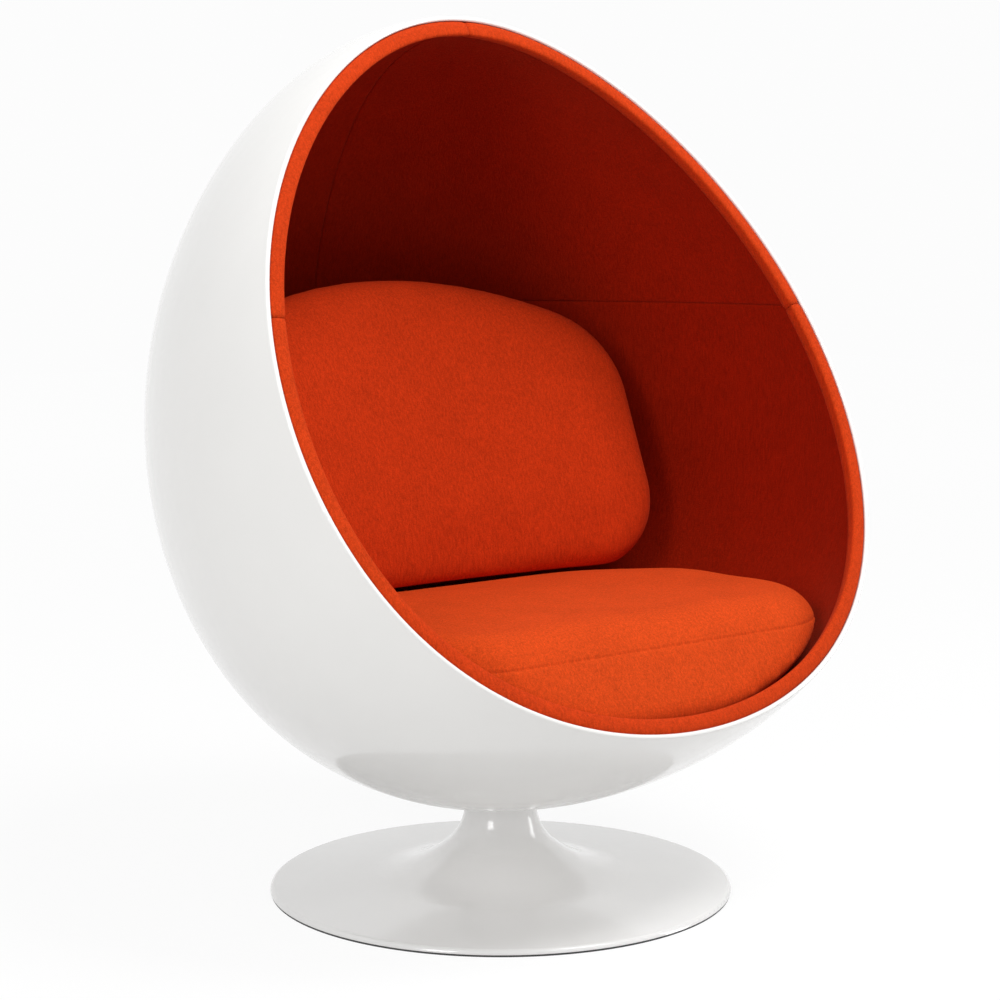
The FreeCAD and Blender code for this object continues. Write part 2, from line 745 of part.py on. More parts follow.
def cushions():
    for name, pad in (("seat", seat_pad), ("back", back_pad)):
        cover = pad(f"{name}_cover", "0")
        core = pad(f"{name}_core", "cover_thickness")
        node(f"{name}_cushion_core", core)
        node(f"{name}_cushion_cover", cut(f"{name}_cover_hollow", cover, core))


shell()
lining()
fixing()
swivel()
pedestal()
seat_support()
cushions()
doc.recompute()

# Checks and files

for item in doc.Objects:
    if "Invalid" in item.State or "Error" in item.State:
        raise RuntimeError(f"{item.Label} failed: {item.State}")
for label, feature in nodes.items():
    shape = feature.Shape
    if shape.isNull() or not shape.isValid() or not shape.Solids:
        raise RuntimeError(f"{label} has no valid solid")

os.makedirs("parts", exist_ok=True)
for label, feature in nodes.items():
    feature.Shape.exportStep(f"parts/{label}.step")
    print(label, len(feature.Shape.Solids), "solids", round(feature.Shape.Volume / 1000, 1), "cm3")
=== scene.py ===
import json
import math

import bmesh
import bpy
import numpy as np
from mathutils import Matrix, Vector


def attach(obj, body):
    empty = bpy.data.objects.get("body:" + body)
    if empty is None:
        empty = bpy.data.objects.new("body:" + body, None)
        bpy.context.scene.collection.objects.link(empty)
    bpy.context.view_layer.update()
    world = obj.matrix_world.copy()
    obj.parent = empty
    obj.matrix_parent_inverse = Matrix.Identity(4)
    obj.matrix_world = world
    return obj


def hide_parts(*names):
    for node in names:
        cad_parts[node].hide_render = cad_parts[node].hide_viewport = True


# The look of the pod chair: gloss shell and pedestal, felt lining with its seams, a padded rim and
# two stuffed cushions. Metres, in the row frame: +Z up, -Y to the front, origin on the floor.

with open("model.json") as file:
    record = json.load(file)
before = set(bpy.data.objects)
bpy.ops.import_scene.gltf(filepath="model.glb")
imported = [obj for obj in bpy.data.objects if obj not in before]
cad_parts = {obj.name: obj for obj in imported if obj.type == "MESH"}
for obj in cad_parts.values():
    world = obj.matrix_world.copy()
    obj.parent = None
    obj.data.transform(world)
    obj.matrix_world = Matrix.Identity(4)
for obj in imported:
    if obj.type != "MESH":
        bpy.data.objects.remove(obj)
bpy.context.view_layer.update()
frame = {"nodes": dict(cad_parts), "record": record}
nodes = frame["nodes"]
SEAT = "seat"

# The egg and its opening, as the CAD states them

EGG_HALF_LENGTH = 0.595
EGG_HALF_WIDTH = 0.540
EGG_TAPER = 0.125
EGG_AXIS = np.array([0.0, math.sin(math.radians(30)), math.cos(math.radians(30))])
EGG_CENTRE = np.array([0.0, -0.016, 0.73563])
OPENING_LEAN = math.radians(27.5)
OPENING_OUT = np.array([0.0, -math.cos(OPENING_LEAN), math.sin(OPENING_LEAN)])
OPENING_UP = np.array([0.0, math.sin(OPENING_LEAN), math.cos(OPENING_LEAN)])
OPENING_DISTANCE = 0.1724
SHELL_WALL = 0.007
FELT_FACE = 0.0194
RIM_WIDTH = 0.022
RIM_DEPTH = 0.022
SEAM_HEIGHT = 0.868
WELL_RADIUS = 0.103
SIDE = np.array([1.0, 0.0, 0.0])

# How finely the egg's outline is tabled, and between which distances its rim is looked for

EGG_SAMPLES = 1800
NEAREST_RIM = 0.2
FARTHEST_RIM = 0.7
HALVINGS = 40


def egg_reach(inset):
    """Angle from the egg's axis, and distance from its centre, along the inset outline."""
    turn = np.linspace(0, math.pi, EGG_SAMPLES)
    share = -np.cos(turn)
    fullness = 1 - EGG_TAPER * (share + share ** 3 / 2)
    radius = EGG_HALF_WIDTH * np.sin(turn) * fullness
    radius_rate = EGG_HALF_WIDTH * np.cos(turn) * fullness
    radius_rate -= EGG_HALF_WIDTH * np.sin(turn) ** 2 * EGG_TAPER * (1 + 1.5 * share ** 2)
    height_rate = EGG_HALF_LENGTH * np.sin(turn)
    norm = np.hypot(radius_rate, height_rate)
    r = radius - inset * height_rate / norm
    h = EGG_HALF_LENGTH * share + inset * radius_rate / norm
    angle = np.arctan2(r, h)
    order = np.argsort(angle)
    return angle[order], np.hypot(r, h)[order]


def reach_along(directions, table):
    """How far the tabled egg surface lies from its centre in each unit direction."""
    along = np.clip(directions @ EGG_AXIS, -1, 1)
    return np.interp(np.arccos(along), *table)


def depth_in_egg(points, table):
    """How far inside the tabled surface each point lies, measured along its ray."""
    away = points - EGG_CENTRE
    distance = np.linalg.norm(away, axis=1)
    return reach_along(away / distance[:, None], table) - distance


def rim_ring(inset, depth, angles):
    """Points of the inset egg surface in a plane behind the opening, round the opening."""
    table = egg_reach(inset)
    spokes = np.outer(np.sin(angles), SIDE) + np.outer(np.cos(angles), OPENING_UP)
    base = (OPENING_DISTANCE - depth) * OPENING_OUT
    low = np.full(len(angles), NEAREST_RIM)
    high = np.full(len(angles), FARTHEST_RIM)
    for _ in range(HALVINGS):
        middle = (low + high) / 2
        inside = depth_in_egg(EGG_CENTRE + base + spokes * middle[:, None], table) > 0
        low = np.where(inside, middle, low)
        high = np.where(inside, high, middle)
    return EGG_CENTRE + base + spokes * low[:, None]


# Mesh helpers

def new_object(name, vertices, faces):
    mesh = bpy.data.meshes.new(name)
    mesh.from_pydata([tuple(v) for v in vertices], [], faces)
    mesh.validate()
    mesh.update()
    obj = bpy.data.objects.new(name, mesh)
    bpy.context.scene.collection.objects.link(obj)
    return obj


def smooth(obj):
    obj.data.polygons.foreach_set("use_smooth", [True] * len(obj.data.polygons))
    return obj


def vertex_values(mesh, key):
    """The places or the normals of a mesh's vertices, one to a row."""
    flat = np.empty(len(mesh.vertices) * 3)
    mesh.vertices.foreach_get(key, flat)
    return flat.reshape(-1, 3)


def positions(mesh):
    return vertex_values(mesh, "co")


def vertex_normals(mesh):
    return vertex_values(mesh, "normal")


def set_positions(mesh, points):
    mesh.vertices.foreach_set("co", np.asarray(points).ravel())
    mesh.update()


def subdivide(obj):
    modifier = obj.modifiers.new("Subdivision", "SUBSURF")
    modifier.levels = modifier.render_levels = 1


# Shader helpers

class Nodes:
    """A material's node tree, built a line at a time."""

    def __init__(self, name):
        self.material = bpy.data.materials.new(name)
        self.material.use_nodes = True
        self.tree = self.material.node_tree
        self.bsdf = self.tree.nodes["Principled BSDF"]
        place = self.add("ShaderNodeTexCoord")
        self.place = place.outputs["Object"]

    def add(self, kind, **values):
        made = self.tree.nodes.new(kind)
        for key, value in values.items():
            setattr(made, key, value)
        return made

    def link(self, source, target):
        self.tree.links.new(source, target)

    def feed(self, socket, value):
        """Sets a socket, or links it where the value is another node's output."""
        if isinstance(value, bpy.types.NodeSocket):
            self.link(value, socket)
        else:
            socket.default_value = value

    def stretch(self, scale):
        mapping = self.add("ShaderNodeMapping")
        mapping.inputs["Scale"].default_value = scale
        self.link(self.place, mapping.inputs["Vector"])
        return mapping.outputs["Vector"]

    def noise(self, scale, detail, roughness, vector=None, distortion=0.0):
        made = self.add("ShaderNodeTexNoise")
        self.link(vector or self.place, made.inputs["Vector"])
        made.inputs["Scale"].default_value = scale
        made.inputs["Detail"].default_value = detail
        made.inputs["Roughness"].default_value = roughness
        made.inputs["Distortion"].default_value = distortion
        return made.outputs["Fac"]

    def cells(self, scale):
        made = self.add("ShaderNodeTexVoronoi")
        self.link(self.place, made.inputs["Vector"])
        made.inputs["Scale"].default_value = scale
        return made.outputs["Distance"]

    def math(self, operation, a, b=0.0):
        made = self.add("ShaderNodeMath", operation=operation)
        for socket, value in zip(made.inputs, (a, b)):
            self.feed(socket, value)
        return made.outputs[0]

    def spread(self, value, low, high, out_low=0.0, out_high=1.0):
        made = self.add("ShaderNodeMapRange")
        for socket, number in zip(made.inputs, (value, low, high, out_low, out_high)):
            self.feed(socket, number)
        return made.outputs[0]

    def mix(self, factor, a, b):
        made = self.add("ShaderNodeMix", data_type="RGBA")
        self.feed(made.inputs["Factor"], factor)
        for name, value in (("A", a), ("B", b)):
            socket = next(s for s in made.inputs if s.name == name and s.type == "RGBA")
            self.feed(socket, value if isinstance(value, bpy.types.NodeSocket) else (*value, 1))
        return next(s for s in made.outputs if s.type == "RGBA")

    def bump(self, height, distance, strength):
        made = self.add("ShaderNodeBump")
        made.inputs["Distance"].default_value = distance
        made.inputs["Strength"].default_value = strength
        self.link(height, made.inputs["Height"])
        return made.outputs["Normal"]

    def finish(self, color, roughness, normal=None, **constants):
        self.feed(self.bsdf.inputs["Base Color"],
                  color if isinstance(color, bpy.types.NodeSocket) else (*color, 1))
        self.feed(self.bsdf.inputs["Roughness"], roughness)
        if normal is not None:
            self.link(normal, self.bsdf.inputs["Normal"])
        for name, value in constants.items():
            self.bsdf.inputs[name.replace("_", " ")].default_value = value
        return self.material


def scaled(color, factor):
    return tuple(min(channel * factor, 1.0) for channel in color)


def felt(name, color):
    """Wool felt: matted fibres with faint upright slubs, pale flecks and a soft nap."""
    n = Nodes(name)
    fibre = n.noise(520, 5.0, 0.75)
    slub = n.noise(1.0, 3.0, 0.6, vector=n.stretch((300, 300, 60)))
    cloud = n.noise(16, 3.0, 0.55)
    fleck = n.spread(n.noise(760, 2.0, 0.5), 0.64, 0.76)
    tone = n.math("ADD", n.math("MULTIPLY", fibre, 0.56), n.math("MULTIPLY", slub, 0.34))
    tone = n.math("ADD", tone, n.math("MULTIPLY", cloud, 0.1))
    body = n.mix(n.spread(tone, 0.38, 0.62), scaled(color, 0.7), scaled(color, 1.22))
    lit = tuple(min(1.0, c * 1.2 + 0.03) for c in color)
    body = n.mix(n.math("MULTIPLY", fleck, 0.35), body, lit)
    height = n.math("ADD", fibre, n.math("MULTIPLY", slub, 0.8))
    normal = n.bump(height, 0.0011, 0.8)
    return n.finish(body, 1.0, normal, Sheen_Weight=0.06, Sheen_Roughness=0.5,
                    Sheen_Tint=(1.0, 0.45, 0.25, 1.0), Specular_IOR_Level=0.03)


def gloss(name, color):
    """Polished gel coat or lacquer, with the faint waviness of a hand-finished surface."""
    n = Nodes(name)
    wave = n.noise(9, 1.0, 0.4)
    fine = n.noise(60, 2.0, 0.5)
    tint = n.mix(n.spread(wave, 0.3, 0.7), scaled(color, 0.985), color)
    rough = n.spread(fine, 0.3, 0.7, 0.16, 0.2)
    normal = n.bump(wave, 0.00072, 0.35)
    return n.finish(tint, rough, normal, Coat_Weight=0.7, Coat_Roughness=0.04,
                    Specular_IOR_Level=0.5)


def metal(name, color):
    """Turned or plated metal with fine tool marks."""
    n = Nodes(name)
    marks = n.noise(1.0, 4.0, 0.6, vector=n.stretch((60, 60, 2600)))
    dull = n.noise(45, 3.0, 0.6)
    tint = n.mix(dull, scaled(color, 0.86), scaled(color, 1.06))
    rough = n.spread(marks, 0.3, 0.7, 0.24, 0.42)
    normal = n.bump(marks, 0.00005, 0.5)
    return n.finish(tint, rough, normal, Metallic=1.0)


def painted(name, color):
    """Sprayed paint with a fine texture."""
    n = Nodes(name)
    grain = n.noise(700, 2.0, 0.5)
    tint = n.mix(n.noise(30, 2.0, 0.5), scaled(color, 0.9), scaled(color, 1.1))
    return n.finish(tint, n.spread(grain, 0.3, 0.7, 0.37, 0.49), n.bump(grain, 0.00012, 0.5))


def foam(name, color):
    """Cut open-cell foam."""
    n = Nodes(name)
    cell = n.cells(420)
    coarse = n.cells(130)
    pores = n.spread(n.math("MULTIPLY", cell, n.math("ADD", coarse, 0.35)), 0.05, 0.4)
    tint = n.mix(pores, scaled(color, 0.66), scaled(color, 1.05))
    return n.finish(tint, 0.95, n.bump(pores, 0.0012, 0.6), Sheen_Weight=0.1)


def plywood(name, color):
    """Birch ply: long grain in the faces and thin layers across its edge."""
    n = Nodes(name)
    grain = n.noise(1.0, 5.0, 0.6, vector=n.stretch((9, 130, 130)), distortion=0.6)
    sheets = n.noise(1.0, 0.0, 0.0, vector=n.stretch((0.4, 0.4, 520)))
    layers = n.math("SINE", n.math("MULTIPLY", sheets, 40.0))
    tone = n.math("ADD", n.math("MULTIPLY", grain, 0.8), n.math("MULTIPLY", layers, 0.1))
    tint = n.mix(n.spread(tone, 0.25, 0.6), scaled(color, 0.72), scaled(color, 1.12))
    return n.finish(tint, 0.6, n.bump(grain, 0.0002, 0.5))


def rubber(name, color):
    """Moulded rubber or matt plastic with a fine grain."""
    n = Nodes(name)
    grain = n.noise(500, 3.0, 0.6)
    tint = n.mix(n.noise(25, 2.0, 0.5), scaled(color, 0.85), scaled(color, 1.2))
    return n.finish(tint, n.spread(grain, 0.3, 0.7, 0.62, 0.82), n.bump(grain, 0.00015, 0.6))


def hooks(name, color):
    """Hook-and-loop tape: rows of small hooks."""
    n = Nodes(name)
    tuft = n.cells(900)
    tint = n.mix(n.spread(tuft, 0.1, 0.6), scaled(color, 1.5), scaled(color, 0.5))
    return n.finish(tint, 0.8, n.bump(tuft, 0.0006, 0.8))


# Colours by slot, as the record has them but for two felts, which are darkened as painted shade

colors = {m["slot"]: tuple(m["base_color"][:3]) for m in frame["record"]["materials"]}
colors.update({
    # Painted shade: the lining's felt is darkened to stand for the shade deep inside the hollow
    "lining_felt": (0.36, 0.014, 0.0022),
    # Painted shade: the back cushion's felt is a darker copy of the seat's felt, for the lesser light
    # that reaches it
    "back_felt": (0.60, 0.040, 0.006),
})
MAKERS = {
    "shell_gloss": gloss,
    "pedestal_gloss": gloss,
    "lining_felt": felt,
    "rim_felt": felt,
    "seat_felt": felt,
    "back_felt": felt,
    "lining_foam": foam,
    "support_foam": foam,
    "cushion_foam": foam,
    "block_wood": plywood,
    "board_wood": plywood,
    "zinc_steel": metal,
    "fastener_steel": metal,
    "turned_steel": metal,
    "bearing_bronze": metal,
    "plate_steel": painted,
    "collar_plastic": rubber,
    "glide_rubber": rubber,
    "grip_tape": hooks,
}
materials = {slot: MAKERS[slot](slot, color) for slot, color in colors.items()}

# Each solid piece in its slot's finish

for part in frame["record"]["subparts"]:
    dressed = nodes[part["node"]]
    for holder in dressed.material_slots:
        holder.material = materials[part["material_slot"]]


def upholstered(obj, slot, *replaced, fill):
    """A soft piece in its place: finish, body, and the CAD nodes that it stands for."""
    obj.data.materials.clear()
    obj.data.materials.append(materials[slot])
    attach(obj, SEAT)
    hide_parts(*replaced)


# The felt lining: three panels that roll in at their seams

LINING_SPOKES = 420
LINING_ROWS = 130
SEAM_ROLL = 0.0022
SEAM_REACH = 0.007
SEAM_LOOPS = (-SEAM_REACH, -0.0035, -0.0015, 0.0, 0.0015, 0.0035, SEAM_REACH)
SEAM_BAND = 0.05
FELT_THICKNESS = 0.0018
RIM_GAP = 0.0004
WELL_TOP = 0.3


def lining_surface():
    """The lining's face as one grid, from the rim to the shell's back."""
    angles = np.linspace(0, 2 * math.pi, LINING_SPOKES, endpoint=False)
    table = egg_reach(FELT_FACE)
    edge = rim_ring(FELT_FACE, RIM_DEPTH + RIM_GAP, angles) - EGG_CENTRE
    edge /= np.linalg.norm(edge, axis=1)[:, None]
    pole = -OPENING_OUT
    swing = np.arccos(np.clip(edge @ pole, -1, 1))
    spokes = edge - np.outer(edge @ pole, pole)
    spokes /= np.linalg.norm(spokes, axis=1)[:, None]
    points = []
    for row in range(1, LINING_ROWS + 1):
        angle = swing * (row / LINING_ROWS)
        way = np.outer(np.cos(angle), pole) + spokes * np.sin(angle)[:, None]
        points.append(EGG_CENTRE + way * reach_along(way, table)[:, None])
    centre = EGG_CENTRE + pole * reach_along(pole[None], table)[0]
    vertices = np.vstack([centre[None]] + points)
    faces = []
    for spoke in range(LINING_SPOKES):
        after = (spoke + 1) % LINING_SPOKES
        faces.append((0, 1 + spoke, 1 + after))
        for row in range(LINING_ROWS - 1):
            a = 1 + row * LINING_SPOKES
            b = a + LINING_SPOKES
            faces.append((a + spoke, b + spoke, b + after, a + after))
    return new_object("lining_face", vertices, faces)


def cut_loops(bm, point, normal, offsets, wanted):
    """Adds edge loops where planes cross the faces that the test picks."""
    for offset in offsets:
        spot = Vector(point) + Vector(normal) * offset
        faces = [f for f in bm.faces if wanted(f.calc_center_median())]
        edges = {e for f in faces for e in f.edges}
        verts = {v for f in faces for v in f.verts}
        bmesh.ops.bisect_plane(bm, geom=[*verts, *edges, *faces], dist=1e-6, plane_co=spot,
                               plane_no=Vector(normal))


def lining_panels():
    """The three panels, cut from the lining's face and rolled in where they meet."""
    whole = lining_surface()
    bm = bmesh.new()
    bm.from_mesh(whole.data)
    cut_loops(bm, (0, 0, SEAM_HEIGHT), (0, 0, 1), SEAM_LOOPS,
              lambda c: abs(c.z - SEAM_HEIGHT) < SEAM_BAND)
    cut_loops(bm, (0, 0, 0), (1, 0, 0), SEAM_LOOPS,
              lambda c: c.z > SEAM_HEIGHT and abs(c.x) < SEAM_BAND)
    sunk = [f for f in bm.faces
            if math.hypot(f.calc_center_median().x, f.calc_center_median().y) < WELL_RADIUS
            and f.calc_center_median().z < WELL_TOP]
    bmesh.ops.delete(bm, geom=sunk, context="FACES")
    bm.to_mesh(whole.data)
    bm.free()
    centres = np.empty(len(whole.data.polygons) * 3)
    whole.data.polygons.foreach_get("center", centres)
    centres = centres.reshape(-1, 3)
    lower = centres[:, 2] < SEAM_HEIGHT
    left = centres[:, 0] < 0
    picks = {"lower": lower, "left": ~lower & left, "right": ~lower & ~left}
    for word, picked in picks.items():
        bm = bmesh.new()
        bm.from_mesh(whole.data)
        bm.faces.ensure_lookup_table()
        spare = [f for f, keep in zip(bm.faces, picked) if not keep]
        bmesh.ops.delete(bm, geom=spare, context="FACES")
        for vertex in bm.verts:
            gap = abs(vertex.co.z - SEAM_HEIGHT)
            if word != "lower":
                gap = min(gap, abs(vertex.co.x))
            if gap < SEAM_REACH:
                roll = SEAM_ROLL * (1 - math.sqrt(1 - (1 - gap / SEAM_REACH) ** 2))
                away = (vertex.co - Vector(EGG_CENTRE)).normalized()
                vertex.co += away * min(roll, FELT_THICKNESS)
        mesh = bpy.data.meshes.new(f"felt_panel_{word}")
        bm.to_mesh(mesh)
        bm.free()
        panel = bpy.data.objects.new(f"felt_panel_{word}", mesh)
        bpy.context.scene.collection.objects.link(panel)
        smooth(panel)
        thick = panel.modifiers.new("Thickness", "SOLIDIFY")
        thick.thickness = FELT_THICKNESS
        thick.offset = 1.0
        upholstered(panel, "lining_felt", f"felt_{word}", fill=1.0)
    bpy.data.objects.remove(whole)


# The padded rim: a felt roll round the opening, pinched at three seams

RIM_STEPS = 540
RIM_PINCH = 0.0016
RIM_PINCH_REACH = 0.012
RIM_MEAN_RADIUS = 0.48
RIM_BACK_GAP = 0.0002
RIM_MIDDLE_DEPTH = 0.01
ROLL_STEPS = 16
ROLL_SHOULDER = 0.0085
ROLL_CROWN = 0.0083
ROLL_FULLNESS = 0.62
ROLL_SQUARENESS = 0.8
OUTER_WALL_DEPTHS = (0.0135, 0.0075)
INNER_WALL_DEPTHS = (0.0095, 0.0155)


def rim_profile():
    """Corners of the roll's section as (inset, depth), going round from the back at the shell."""
    outer = SHELL_WALL + RIM_GAP
    inner = outer + RIM_WIDTH - RIM_GAP
    back = RIM_DEPTH - RIM_BACK_GAP
    section = [(outer, back)] + [(outer, depth) for depth in OUTER_WALL_DEPTHS]
    middle = (outer + inner) / 2
    half = (inner - outer) / 2
    for step in range(1, ROLL_STEPS):
        angle = math.pi * step / ROLL_STEPS
        across = math.copysign(abs(math.cos(angle)) ** ROLL_SQUARENESS, math.cos(angle))
        bulge = math.sin(angle) ** ROLL_FULLNESS
        section.append((middle - half * across, ROLL_SHOULDER - ROLL_CROWN * bulge))
    section += [(inner, depth) for depth in INNER_WALL_DEPTHS]
    section.append((inner, back))
    return section


def rim_rolls():
    """The three lengths of roll, each a closed tube drawn in at its ends."""
    angles = np.linspace(0, 2 * math.pi, RIM_STEPS, endpoint=False)
    middle = rim_ring(SHELL_WALL + RIM_WIDTH / 2, RIM_MIDDLE_DEPTH, angles)
    seam_right = np.interp(0, SEAM_HEIGHT - middle[:RIM_STEPS // 2, 2], angles[:RIM_STEPS // 2])
    spans = {
        "right": (0.0, seam_right),
        "lower": (seam_right, 2 * math.pi - seam_right),
        "left": (2 * math.pi - seam_right, 2 * math.pi),
    }
    section = rim_profile()
    centre_inset = sum(inset for inset, _ in section) / len(section)
    centre_depth = sum(depth for _, depth in section) / len(section)
    for word, (start, end) in spans.items():
        count = int(RIM_STEPS * (end - start) / (2 * math.pi))
        run = (end - start) * RIM_MEAN_RADIUS
        share = np.linspace(0, 1, count)
        ease = np.clip(np.minimum(share, 1 - share) * run / RIM_PINCH_REACH, 0, 1)
        gap = RIM_GAP / run
        steps = start + (end - start) * (gap + share * (1 - 2 * gap))
        pinch = RIM_PINCH * (1 - np.sqrt(1 - (1 - ease) ** 2))
        drawn = rim_ring(centre_inset, centre_depth, steps)
        rows = []
        for inset, depth in section:
            plain = rim_ring(inset, depth, steps)
            inward = drawn - plain
            length = np.linalg.norm(inward, axis=1)
            rows.append(plain + inward / length[:, None] * pinch[:, None])
        grid = np.stack(rows, axis=1)
        width = len(section)
        vertices = grid.reshape(-1, 3)
        faces = []
        for a in range(count - 1):
            for b in range(width):
                c = (b + 1) % width
                faces.append((a * width + b, a * width + c, (a + 1) * width + c, (a + 1) * width + b))
        faces.append(tuple(range(width))[::-1])
        faces.append(tuple((count - 1) * width + b for b in range(width)))
        roll = smooth(new_object(f"rim_padding_{word}", vertices, faces))
        upholstered(roll, "rim_felt", f"rim_roll_{word}", fill=0.9)


# The stuffed cushions

LINING_CLEARANCE = 0.0006
LINING_TABLE = egg_reach(FELT_FACE + LINING_CLEARANCE)
VOXEL = 0.008
SOFTENINGS = 5
EVENINGS = 40
PRESSURE = 4.0
FRAMES = 20
REST_GAP = 0.0003
HELD_BAND = 0.006
SEAT_FOOT = 0.300
SEAT_TOP = 0.450
SEAT_SWELL = 0.0015
SEAT_CROWN = 0.0065
SEAT_CROWN_RUN = 0.09
SEAT_CROWN_RISE = 0.15
SEAT_SEAM = 0.413
SEAT_SEAM_LOOPS = (-0.005, -0.002, 0.0, 0.002, 0.005)
SEAT_SEAM_DEPTH = 0.0015
SEAT_SEAM_WIDTH = 0.0018
BACK_LEAN = math.radians(21)
BACK_FRONT = 0.080
BACK_OVERLAP = 0.012
BACK_SWELL = 0.002
BACK_CROWN = 0.013
BACK_CROWN_RISE = 0.12


def inflate(obj, pinned):
    """Blows the mesh up as cloth, held at the pinned vertices, and keeps the result."""
    group = obj.vertex_groups.new(name="held")
    for index in np.flatnonzero(pinned):
        group.add([int(index)], 1.0, "REPLACE")
    modifier = obj.modifiers.new("Cloth", "CLOTH")
    settings = modifier.settings
    settings.quality = 6
    settings.mass = 0.4
    settings.tension_stiffness = 18
    settings.compression_stiffness = 18
    settings.shear_stiffness = 8
    settings.bending_stiffness = 1.2
    settings.use_pressure = True
    settings.uniform_pressure_force = PRESSURE
    settings.effector_weights.gravity = 0
    settings.vertex_group_mass = group.name
    modifier.collision_settings.use_collision = False
    modifier.point_cache.frame_start = 1
    modifier.point_cache.frame_end = FRAMES
    scene = bpy.context.scene
    for number in range(1, FRAMES + 1):
        scene.frame_set(number)
    shaped = obj.evaluated_get(bpy.context.evaluated_depsgraph_get())
    mesh = bpy.data.meshes.new_from_object(shaped)
    obj.modifiers.remove(modifier)
    old = obj.data
    obj.data = mesh
    obj.vertex_groups.clear()
    bpy.data.meshes.remove(old)
    scene.frame_set(1)


def remeshed(name, node):
    """An even, softened mesh of a CAD solid, as a new object."""
    mesh = nodes[node].data.copy()
    obj = bpy.data.objects.new(name, mesh)
    bpy.context.scene.collection.objects.link(obj)
    modifier = obj.modifiers.new("Remesh", "REMESH")
    modifier.mode = "VOXEL"
    modifier.voxel_size = VOXEL
    evaluated = obj.evaluated_get(bpy.context.evaluated_depsgraph_get())
    even = bpy.data.meshes.new_from_object(evaluated)
    obj.modifiers.clear()
    obj.data = even
    bpy.data.meshes.remove(mesh)
    even.name = name
    bm = bmesh.new()
    bm.from_mesh(even)
    for _ in range(SOFTENINGS):
        bmesh.ops.smooth_vert(bm, verts=bm.verts, factor=0.5, use_axis_x=True,
                              use_axis_y=True, use_axis_z=True)
    bm.to_mesh(even)
    bm.free()
    return obj


def eased(share):
    """A share held between 0 and 1, with soft ends."""
    share = np.clip(share, 0, 1)
    return share * share * (3 - 2 * share)


def swollen(mesh, before, after, cap):
    """The points moved out by the swelling, evened out over the mesh, each within its cap."""
    normals = vertex_normals(mesh)
    rise = np.clip(np.einsum("ij,ij->i", after - before, normals), 0, cap)
    ends = np.empty(len(mesh.edges) * 2, dtype=np.int64)
    mesh.edges.foreach_get("vertices", ends)
    first, second = ends.reshape(-1, 2).T
    count = len(before)
    neighbours = np.bincount(first, minlength=count) + np.bincount(second, minlength=count)
    for _ in range(EVENINGS):
        total = np.bincount(first, rise[second], count) + np.bincount(second, rise[first], count)
        rise = (rise + total / neighbours) / 2
    return before + normals * np.minimum(rise, cap)[:, None]


def clear_of_lining(points):
    """The points with any that reach into the lining brought back in front of it."""
    away = points - EGG_CENTRE
    distance = np.linalg.norm(away, axis=1)
    reach = reach_along(away / distance[:, None], LINING_TABLE)
    return EGG_CENTRE + away * np.minimum(1, reach / distance)[:, None]


def stuffed(name, node, foot, cap_at):
    """A cushion swollen from its CAD solid on a foot that stays put, and its new points. How far
    each point may swell depends on its height above the foot, its place and its normal."""
    obj = remeshed(name, node)
    before = positions(obj.data)
    rest = obj.data.copy()
    inflate(obj, before[:, 2] < foot + HELD_BAND)
    cap = cap_at(before[:, 2] - foot, before, vertex_normals(rest))
    points = swollen(rest, before, positions(obj.data), cap)
    bpy.data.meshes.remove(rest)
    points[:, 2] = np.maximum(points[:, 2], foot + REST_GAP)
    return obj, points


def seam_round(obj):
    """Sinks a level seam into the seat cushion."""
    bm = bmesh.new()
    bm.from_mesh(obj.data)
    for offset in SEAT_SEAM_LOOPS:
        bmesh.ops.bisect_plane(bm, geom=[*bm.verts, *bm.edges, *bm.faces], dist=1e-6,
                               plane_co=(0, 0, SEAT_SEAM + offset), plane_no=(0, 0, 1))
    bm.to_mesh(obj.data)
    bm.free()
    points = positions(obj.data)
    share = np.exp(-((points[:, 2] - SEAT_SEAM) / SEAT_SEAM_WIDTH) ** 2)
    set_positions(obj.data, points - vertex_normals(obj.data) * (SEAT_SEAM_DEPTH * share)[:, None])


def seat_cushion():
    """The seat cushion: crowned in front of the back cushion and flat under it."""
    def cap(height, points, normals):
        free = eased((BACK_FRONT - points[:, 1]) / SEAT_CROWN_RUN)
        free *= eased(height / SEAT_CROWN_RISE)
        return SEAT_SWELL + SEAT_CROWN * np.clip(normals[:, 2], 0, 1) * free

    obj, points = stuffed("seat_cushion", "seat_cushion_core", SEAT_FOOT, cap)
    under_back = points[:, 1] > BACK_FRONT + BACK_OVERLAP
    points[under_back, 2] = np.minimum(points[under_back, 2], SEAT_TOP - REST_GAP)
    set_positions(obj.data, clear_of_lining(points))
    seam_round(obj)
    smooth(obj)
    subdivide(obj)
    upholstered(obj, "seat_felt", "seat_cushion_core", "seat_cushion_cover", fill=0.95)


def back_cushion():
    """The back cushion: crowned on the face that it turns to the sitter."""
    facing = np.array([0.0, -math.cos(BACK_LEAN), math.sin(BACK_LEAN)])

    def cap(height, points, normals):
        free = eased(height / BACK_CROWN_RISE)
        return BACK_SWELL + BACK_CROWN * np.clip(normals @ facing, 0, 1) ** 2 * free

    obj, points = stuffed("back_cushion", "back_cushion_core", SEAT_TOP + REST_GAP, cap)
    set_positions(obj.data, clear_of_lining(points))
    smooth(obj)
    subdivide(obj)
    upholstered(obj, "back_felt", "back_cushion_core", "back_cushion_cover", fill=0.9)


lining_panels()
rim_rolls()
seat_cushion()
back_cushion()

# Floor, light and camera

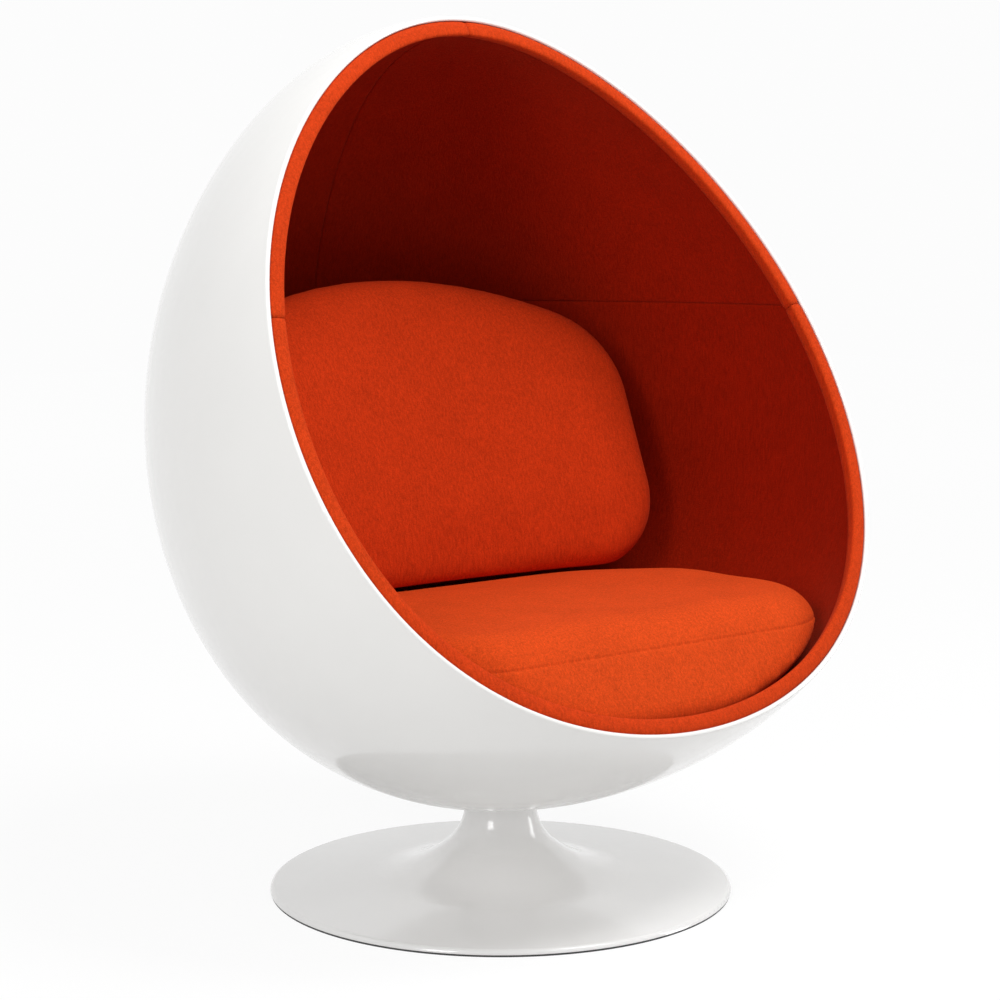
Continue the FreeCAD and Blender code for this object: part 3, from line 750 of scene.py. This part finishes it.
FLOOR_SIZE = 24.0
FLOOR_TONE = 0.62
FLOOR_TONE_SEEN = 0.1
FLOOR_GLOW_NEAR = 0.905
FLOOR_GLOW_FAR = 0.93
GLOW_NEAR_DISTANCE = 1.2
GLOW_FAR_DISTANCE = 7.0
WORLD_LIGHT = 0.46
WORLD_SEEN = 0.975
LAMPS = {
    "key": ((0.7, -1.7, 4.3), (0, -0.1, 0.6), (1.8, 1.8), 116),
    "left": ((-3.7, -1.4, 1.9), (0, 0, 0.6), (1.1, 2.4), 50),
    "right": ((3.2, -1.9, 1.1), (0, 0, 0.4), (0.8, 2.0), 22),
}
CAMERA_PLACE = (-2.097, -2.544, 0.9737)
CAMERA_HEADING = (0.636, 0.772)
CAMERA_PITCH = 0.1168
CAMERA_LENS = 80.4


def seen_directly(nodes, links):
    """One for camera, glossy and transmission rays, and nothing for the rest."""
    path = nodes.new("ShaderNodeLightPath")
    first = nodes.new("ShaderNodeMath")
    second = nodes.new("ShaderNodeMath")
    for chosen in (first, second):
        chosen.operation = "MAXIMUM"
    links.new(path.outputs["Is Camera Ray"], first.inputs[0])
    links.new(path.outputs["Is Glossy Ray"], first.inputs[1])
    links.new(first.outputs[0], second.inputs[0])
    links.new(path.outputs["Is Transmission Ray"], second.inputs[1])
    return second.outputs[0]


def studio_floor():
    """A plain pale floor that keeps the chair's shadow."""
    half = FLOOR_SIZE / 2
    floor = new_object("studio_floor", [(-half, -half, 0), (half, -half, 0), (half, half, 0),
                                        (-half, half, 0)], [(0, 1, 2, 3)])
    n = Nodes("studio_floor")
    seen = seen_directly(n.tree.nodes, n.tree.links)
    tone = n.spread(seen, 0.0, 1.0, FLOOR_TONE, FLOOR_TONE_SEEN)
    base = n.finish(tone, 1.0, Specular_IOR_Level=0.0)
    away = n.add("ShaderNodeVectorMath", operation="LENGTH")
    n.link(n.place, away.inputs[0])
    glow = n.spread(away.outputs["Value"], GLOW_NEAR_DISTANCE, GLOW_FAR_DISTANCE,
                    FLOOR_GLOW_NEAR, FLOOR_GLOW_FAR)
    n.feed(n.bsdf.inputs["Emission Strength"], n.math("MULTIPLY", seen, glow))
    n.bsdf.inputs["Emission Color"].default_value = (1, 1, 1, 1)
    floor.data.materials.append(base)


def world_light():
    """An even white studio, dimmer as a light than it looks."""
    world = bpy.data.worlds.new("studio")
    bpy.context.scene.world = world
    world.use_nodes = True
    tree = world.node_tree
    back = tree.nodes["Background"]
    back.inputs["Color"].default_value = (1, 1, 1, 1)
    pick = tree.nodes.new("ShaderNodeMapRange")
    tree.links.new(seen_directly(tree.nodes, tree.links), pick.inputs["Value"])
    pick.inputs["To Min"].default_value = WORLD_LIGHT
    pick.inputs["To Max"].default_value = WORLD_SEEN
    tree.links.new(pick.outputs["Result"], back.inputs["Strength"])


def area_lamp(name, place, target, size, power):
    light = bpy.data.lights.new(name, "AREA")
    light.shape = "RECTANGLE"
    light.size, light.size_y = size
    light.energy = power
    lamp = bpy.data.objects.new(name, light)
    lamp.location = place
    lamp.rotation_euler = (Vector(target) - Vector(place)).to_track_quat("-Z", "Y").to_euler()
    bpy.context.scene.collection.objects.link(lamp)


def camera():
    data = bpy.data.cameras.new("camera")
    data.sensor_width = 36
    data.lens = CAMERA_LENS
    data.clip_end = 60
    obj = bpy.data.objects.new("camera", data)
    obj.location = CAMERA_PLACE
    obj.rotation_euler = (math.pi / 2 - CAMERA_PITCH, 0, -math.atan2(*CAMERA_HEADING))
    bpy.context.scene.collection.objects.link(obj)
    bpy.context.scene.camera = obj


studio_floor()
world_light()
for lamp_name, lamp_facts in LAMPS.items():
    area_lamp(lamp_name, *lamp_facts)
camera()
bpy.context.scene.view_settings.view_transform = "Standard"
